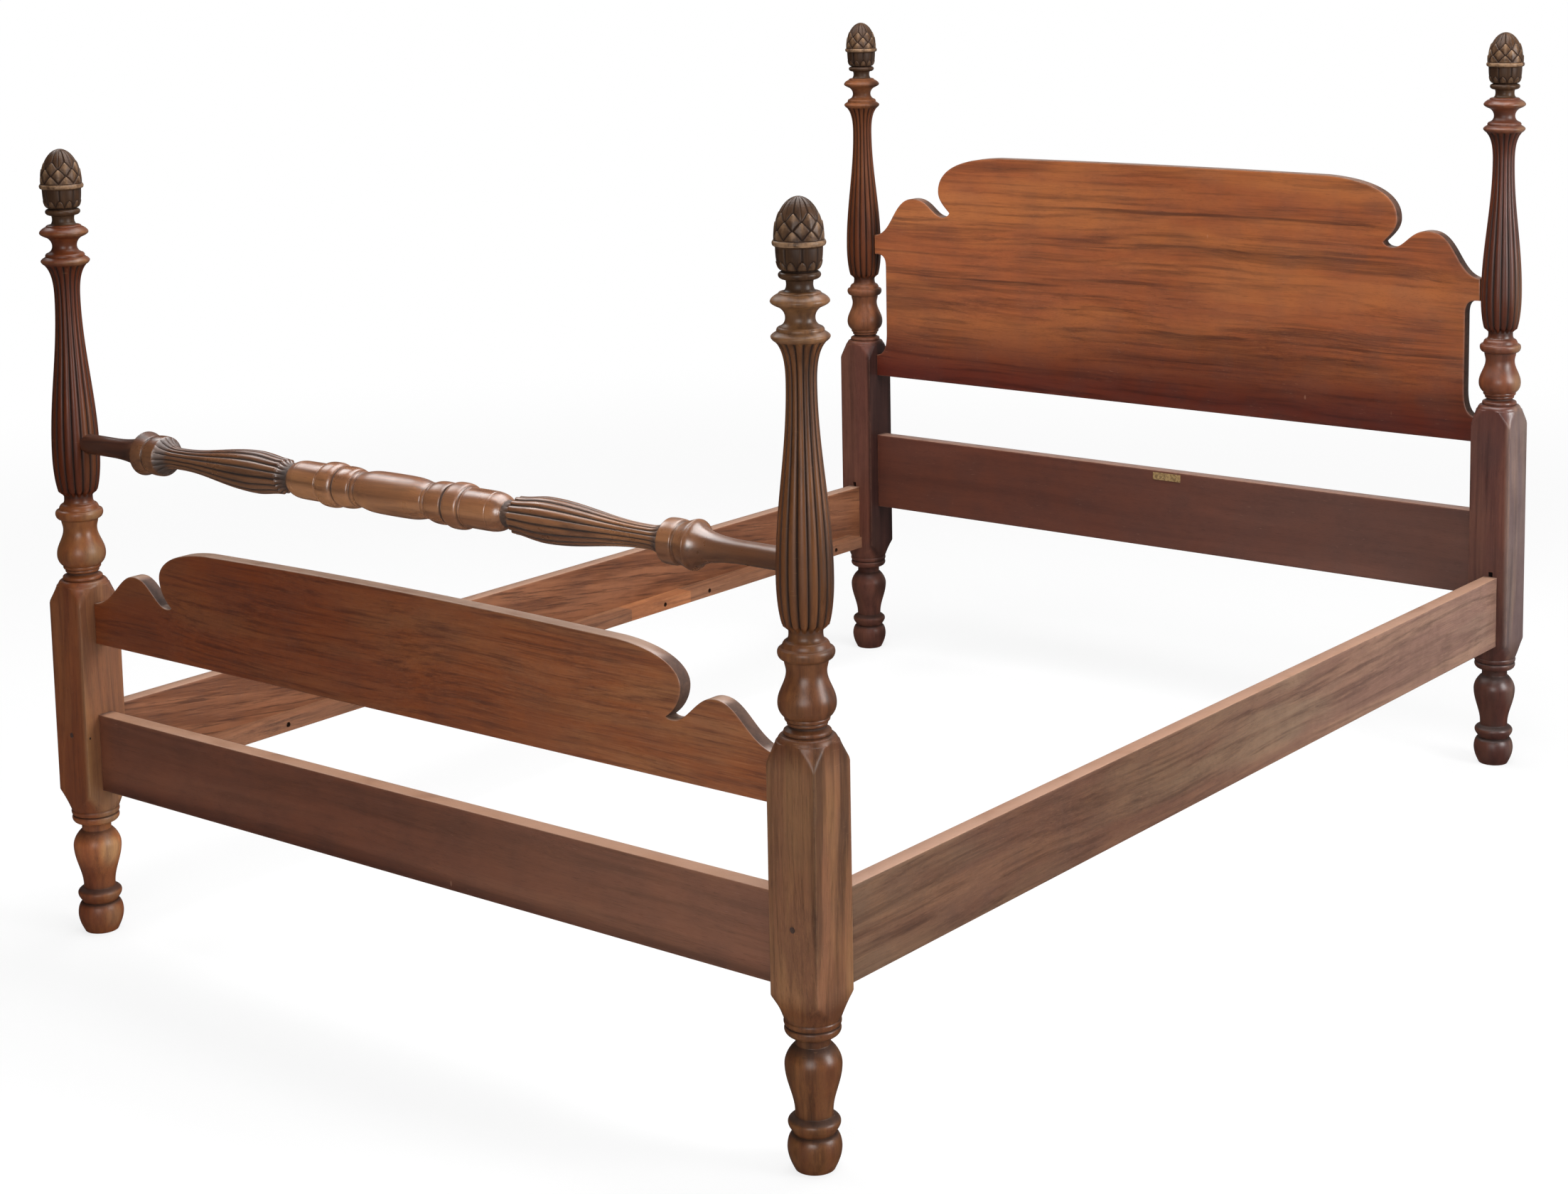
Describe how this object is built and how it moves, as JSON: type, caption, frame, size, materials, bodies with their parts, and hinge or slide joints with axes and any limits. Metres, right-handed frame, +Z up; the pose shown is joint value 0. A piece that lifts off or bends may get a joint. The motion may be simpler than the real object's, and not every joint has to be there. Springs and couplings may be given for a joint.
{
  "type": "poster bed frame",
  "caption": "Low poster bed frame with turned, reeded posts, carved acorn finials, shaped headboard and footboard, a turned blanket rail and lift-off side rails.",
  "frame": {"origin": "on the floor, at the centre of the rectangle that the bed fills", "axes": "+X across the bed towards the near side in the picture, +Y towards the headboard, +Z up"},
  "size_m": [1.4743, 2.0813, 1.3135],
  "materials": {
    "post_wood": "polished lacquer over streaked red-brown and golden wood",
    "finial_wood": "carved, dark grey-brown, satin",
    "headboard_wood": "polished lacquer, orange-brown with dark streaks",
    "footboard_wood": "polished lacquer, dark red-brown",
    "head_rail_wood": "polished lacquer, very dark red-brown",
    "foot_rail_wood": "polished lacquer, dark red-brown, rubbed pale on its top edge",
    "blanket_rail_wood": "polished lacquer, brown",
    "side_rail_wood": "lacquered outside, rough and bare inside",
    "ledger_wood": "bare sawn wood",
    "patch_wood": "bare sawn wood, orange",
    "screw_steel": "dark oxidised",
    "hook_steel": "dull steel",
    "rivet_steel": "dull steel",
    "catch_pin_steel": "dull steel",
    "peg_wood": "end grain",
    "brad_steel": "dark oxidised",
    "plate_brass": "aged brass, bare"
  },
  "bodies": {
    "root": {"foot_post_left": "post_wood", "foot_post_right": "post_wood", "head_post_left": "post_wood", "head_post_right": "post_wood", "foot_finial_left": "finial_wood", "foot_finial_right": "finial_wood", "head_finial_left": "finial_wood", "head_finial_right": "finial_wood", "headboard": "headboard_wood", "footboard": "footboard_wood", "head_rail": "head_rail_wood", "foot_rail": "foot_rail_wood", "blanket_rail": "blanket_rail_wood", "side_rail_left": "side_rail_wood", "side_rail_right": "side_rail_wood", "ledger_left_foot": "ledger_wood", "ledger_left_head": "ledger_wood", "ledger_right": "ledger_wood", "ledger_left_patch": "patch_wood", "ledger_screws_left": "screw_steel", "ledger_screws_right": "screw_steel", "rail_hook_foot_left": "hook_steel", "rail_hook_foot_right": "hook_steel", "rail_hook_head_left": "hook_steel", "rail_hook_head_right": "hook_steel", "hook_rivets_foot_left": "rivet_steel", "hook_rivets_foot_right": "rivet_steel", "hook_rivets_head_left": "rivet_steel", "hook_rivets_head_right": "rivet_steel", "catch_pins_foot_left": "catch_pin_steel", "catch_pins_foot_right": "catch_pin_steel", "catch_pins_head_left": "catch_pin_steel", "catch_pins_head_right": "catch_pin_steel", "rail_peg_left": "peg_wood", "rail_peg_right": "peg_wood", "side_brads": "brad_steel", "blank_plate": "plate_brass", "plate_pins": "plate_brass"}
  },
  "joints": []
}
